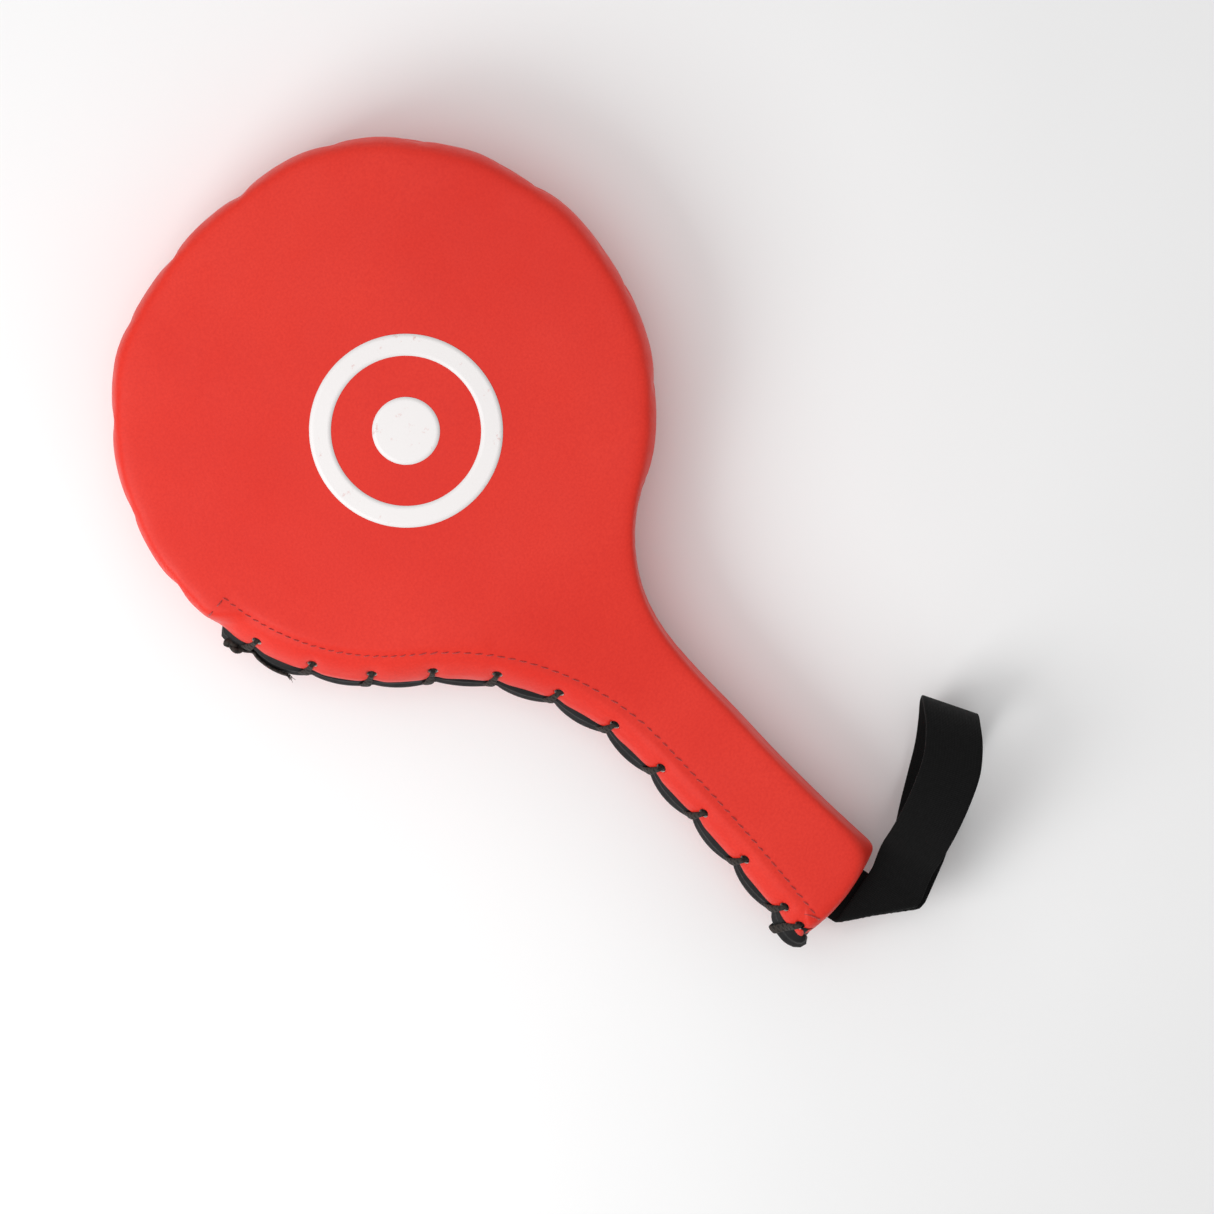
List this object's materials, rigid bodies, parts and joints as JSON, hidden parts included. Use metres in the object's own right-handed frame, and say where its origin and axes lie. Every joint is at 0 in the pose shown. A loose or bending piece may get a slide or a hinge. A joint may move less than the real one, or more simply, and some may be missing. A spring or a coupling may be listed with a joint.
{
  "type": "boxing paddle",
  "caption": "Round padded boxing paddle with a long handle, a laced cover and an elastic wrist loop.",
  "frame": {"origin": "on the back face, under the centre of the round head", "axes": "+Z out of the striking face, +Y from the head's centre to its top, so the handle runs to -Y; the laced opening is on the -X side"},
  "size_m": [0.2308, 0.4141, 0.048],
  "materials": {
    "red_cover": "satin",
    "hem_lining": "matte",
    "white_print": "matte",
    "soft_foam": "matte",
    "dense_foam": "matte",
    "board": "matte",
    "black_tongue": "satin",
    "lace_cord": "matte",
    "red_thread": "matte",
    "black_elastic": "matte",
    "black_thread": "matte"
  },
  "bodies": {
    "paddle": {"front_cover": "red_cover", "back_cover": "red_cover", "front_hem_facing": "hem_lining", "back_hem_facing": "hem_lining", "front_print": "white_print", "front_soft_foam": "soft_foam", "back_soft_foam": "soft_foam", "front_impact_foam": "dense_foam", "back_impact_foam": "dense_foam", "stiffener_board": "board", "lace_tongue": "black_tongue", "lace": "lace_cord", "front_hem_stitching": "red_thread", "back_hem_stitching": "red_thread", "side_seam_thread": "red_thread", "strap_root_tab": "black_elastic", "strap_tack_stitching": "black_thread"},
    "strap": {"wrist_strap": "black_elastic"}
  },
  "joints": [
    {"name": "strap_swing", "type": "hinge", "parent": "paddle", "child": "strap", "pos_m": [0.0254, -0.2911, 0.024], "axis": [0.4648, -0.8854, 0], "range_deg": [-80, 80]}
  ]
}
